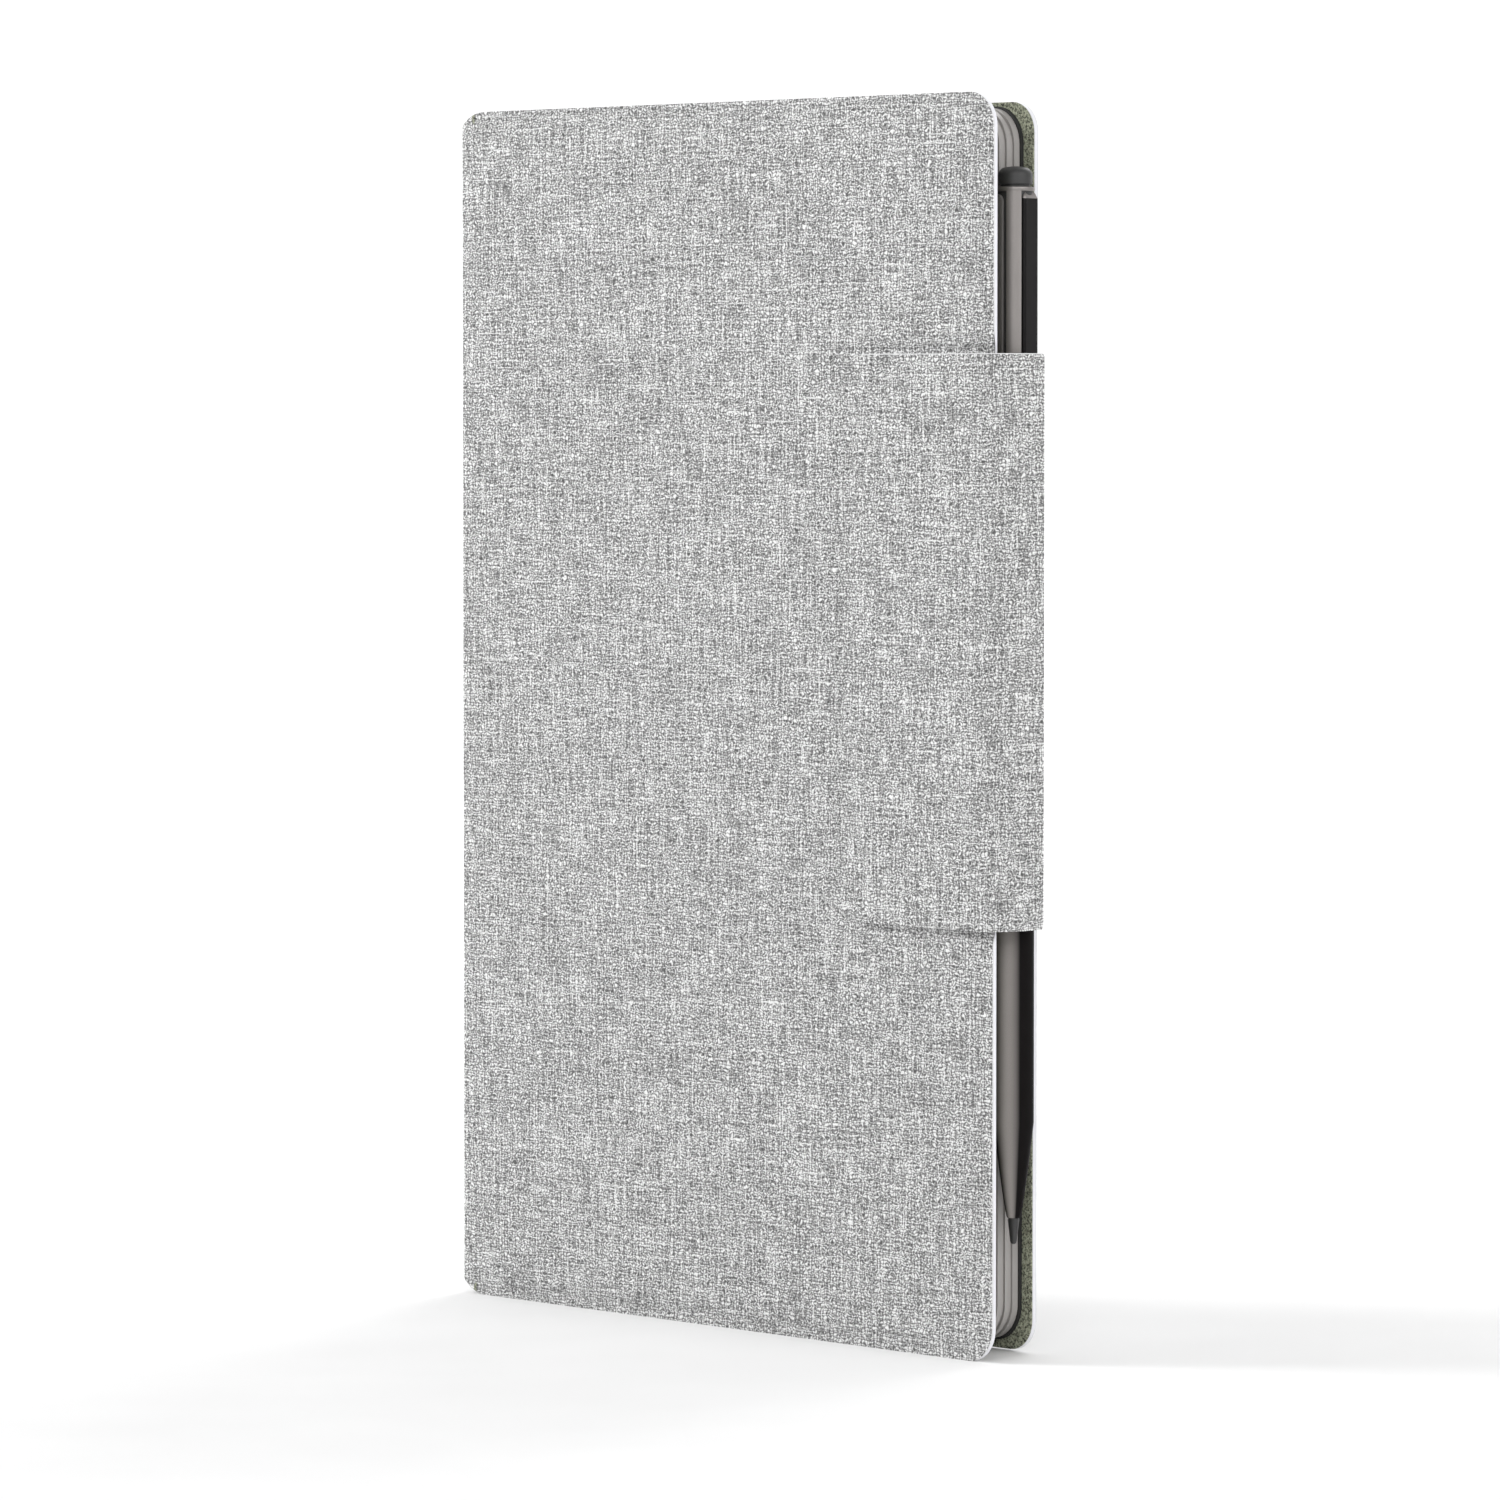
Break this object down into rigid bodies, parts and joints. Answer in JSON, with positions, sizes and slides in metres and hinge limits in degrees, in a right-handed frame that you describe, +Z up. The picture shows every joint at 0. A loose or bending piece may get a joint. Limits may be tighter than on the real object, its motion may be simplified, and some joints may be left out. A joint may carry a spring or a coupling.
{
  "type": "tablet keyboard case",
  "caption": "Upright closed folio keyboard case for a small tablet, with fabric covers, ribbed tray, kickstand, wrap-round flap and a stylus held at the free edge.",
  "frame": {"origin": "under the middle of the closed case, on the surface that it stands on", "axes": "+Z up along the case's long side, -Y out of the front cover's outer face, +X towards the free edge that holds the stylus"},
  "size_m": [0.1322, 0.0156, 0.201],
  "materials": {
    "cover_fabric": "matte",
    "cover_lining": "matte",
    "edge_board": "satin",
    "tray_plastic": "satin",
    "black_rubber": "matte",
    "steel": "satin",
    "deck_plastic": "matte",
    "key_plastic": "matte",
    "circuit": "satin",
    "battery_wrap": "gloss",
    "light_lens": "gloss",
    "stylus_body": "satin",
    "stylus_black": "satin",
    "copper": "satin"
  },
  "bodies": {
    "rear": {"tablet_tray": "tray_plastic", "rear_cover_board": "edge_board", "rear_cover_fabric": "cover_fabric", "rear_cover_lining": "cover_lining", "camera_bezel": "black_rubber", "tray_gasket": "black_rubber", "kickstand_seat": "cover_lining", "kickstand_pin": "steel", "cover_knuckles": "steel"},
    "spine": {"spine_board": "edge_board", "spine_fabric": "cover_fabric", "spine_lining": "cover_lining"},
    "front": {"front_cover_board": "edge_board", "front_cover_fabric": "cover_fabric", "front_cover_lining": "cover_lining", "front_cover_magnets": "steel", "flap_panel_board": "edge_board", "flap_panel_fabric": "cover_fabric", "keyboard_base": "steel", "keyboard_deck": "deck_plastic", "key_circuit_sheet": "circuit", "key_domes": "black_rubber", "key_scissors": "key_plastic", "keyboard_battery": "battery_wrap", "controller_board": "circuit", "charge_port": "steel", "status_lights": "light_lens", "screen_bumpers": "black_rubber"},
    "flap": {"flap_strip_board": "edge_board", "flap_strip_fabric": "cover_fabric", "flap_strip_lining": "cover_lining", "flap_magnets": "steel"},
    "kickstand": {"kickstand_plate": "edge_board", "kickstand_fabric": "cover_fabric", "kickstand_magnets": "steel", "kickstand_knuckles": "steel"},
    "stylus": {"stylus_barrel": "stylus_body", "stylus_cone": "stylus_body", "stylus_nib": "stylus_black", "stylus_coil": "copper", "stylus_cap": "stylus_black", "stylus_rails": "stylus_body", "stylus_board": "circuit"},
    "bottom_keys": {"key_row_bottom": "key_plastic"},
    "shift_keys": {"key_row_shift": "key_plastic"},
    "home_keys": {"key_row_home": "key_plastic"},
    "upper_keys": {"key_row_upper": "key_plastic"},
    "number_keys": {"key_row_number": "key_plastic"},
    "function_keys": {"key_row_function": "key_plastic"},
    "space_key": {"space_bar": "key_plastic"},
    "switch": {"power_switch": "key_plastic"},
    "button": {"connect_button": "key_plastic"}
  },
  "joints": [
    {"name": "spine_fold", "type": "hinge", "parent": "rear", "child": "spine", "pos_m": [-0.0654, 0.00715, 0.1005], "axis": [0, 0, -1], "range_deg": [0, 180]},
    {"name": "cover_fold", "type": "hinge", "parent": "spine", "child": "front", "pos_m": [-0.0654, -0.00615, 0.1005], "axis": [0, 0, -1], "range_deg": [0, 180]},
    {"name": "flap_fold", "type": "hinge", "parent": "front", "child": "flap", "pos_m": [0.06565, -0.0073, 0.1142], "axis": [0, 0, -1], "range_deg": [0, 150]},
    {"name": "kickstand_fold", "type": "hinge", "parent": "rear", "child": "kickstand", "pos_m": [-0.0021, 0.00705, 0.087], "axis": [0, 0, 1], "range_deg": [-110, 0]},
    {"name": "stylus_slide", "type": "slide", "parent": "rear", "child": "stylus", "axis": [0, 0, 1], "range_m": [0, 0.19]},
    {"name": "bottom_key_press", "type": "slide", "parent": "front", "child": "bottom_keys", "axis": [0, -1, 0], "range_m": [0, 0.0009], "stiffness_N_per_m": 600},
    {"name": "shift_key_press", "type": "slide", "parent": "front", "child": "shift_keys", "axis": [0, -1, 0], "range_m": [0, 0.0009], "stiffness_N_per_m": 600},
    {"name": "home_key_press", "type": "slide", "parent": "front", "child": "home_keys", "axis": [0, -1, 0], "range_m": [0, 0.0009], "stiffness_N_per_m": 600},
    {"name": "upper_key_press", "type": "slide", "parent": "front", "child": "upper_keys", "axis": [0, -1, 0], "range_m": [0, 0.0009], "stiffness_N_per_m": 600},
    {"name": "number_key_press", "type": "slide", "parent": "front", "child": "number_keys", "axis": [0, -1, 0], "range_m": [0, 0.0009], "stiffness_N_per_m": 600},
    {"name": "function_key_press", "type": "slide", "parent": "front", "child": "function_keys", "axis": [0, -1, 0], "range_m": [0, 0.0009], "stiffness_N_per_m": 600},
    {"name": "space_bar_press", "type": "slide", "parent": "front", "child": "space_key", "axis": [0, -1, 0], "range_m": [0, 0.0009], "stiffness_N_per_m": 600},
    {"name": "power_switch_slide", "type": "slide", "parent": "front", "child": "switch", "axis": [0, 0, 1], "range_m": [0, 0.003]},
    {"name": "connect_button_press", "type": "slide", "parent": "front", "child": "button", "axis": [0, -1, 0], "range_m": [0, 0.0004], "stiffness_N_per_m": 800}
  ]
}
